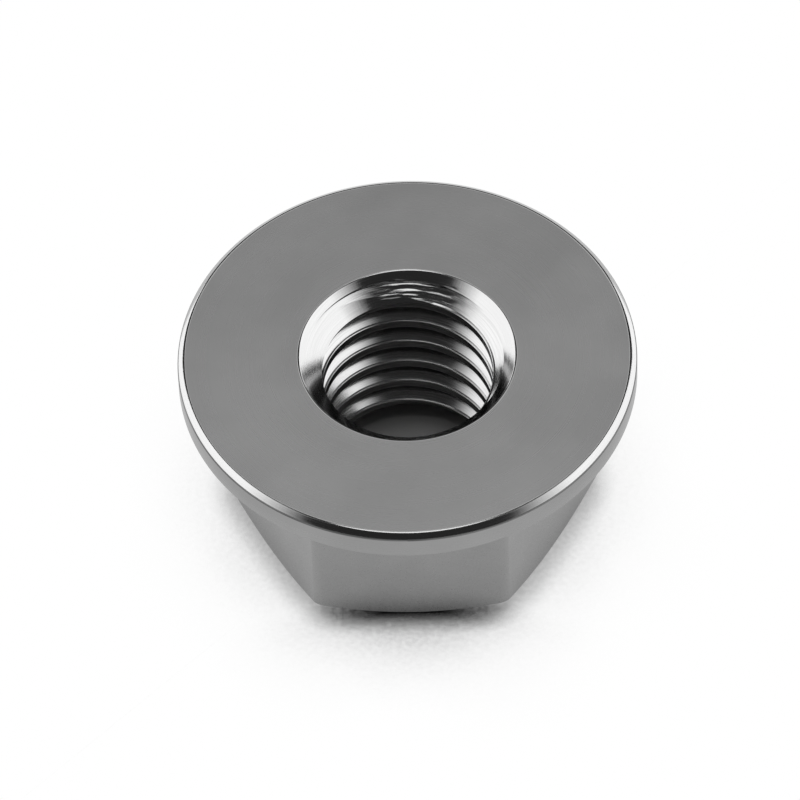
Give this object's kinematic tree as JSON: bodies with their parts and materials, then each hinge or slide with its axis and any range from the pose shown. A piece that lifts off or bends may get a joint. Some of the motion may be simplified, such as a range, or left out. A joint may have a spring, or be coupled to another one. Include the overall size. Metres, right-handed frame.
{
  "type": "hexagon flange lock nut",
  "caption": "Metal hexagon nut with a plain conical flange, a smooth bearing face, a countersunk through thread and punch marks that lock it.",
  "frame": {"origin": "centre of the hexagon's end face, on the thread's axis, where the nut stands", "axes": "+Z along the thread's axis from the hexagon's end face to the flange's bearing face; two of the hexagon's flats face along Y"},
  "size_m": [0.0178, 0.0178, 0.0082],
  "materials": {
    "steel": "turned and satin, with bright bevels"
  },
  "bodies": {
    "root": {"nut": "steel"}
  },
  "joints": []
}
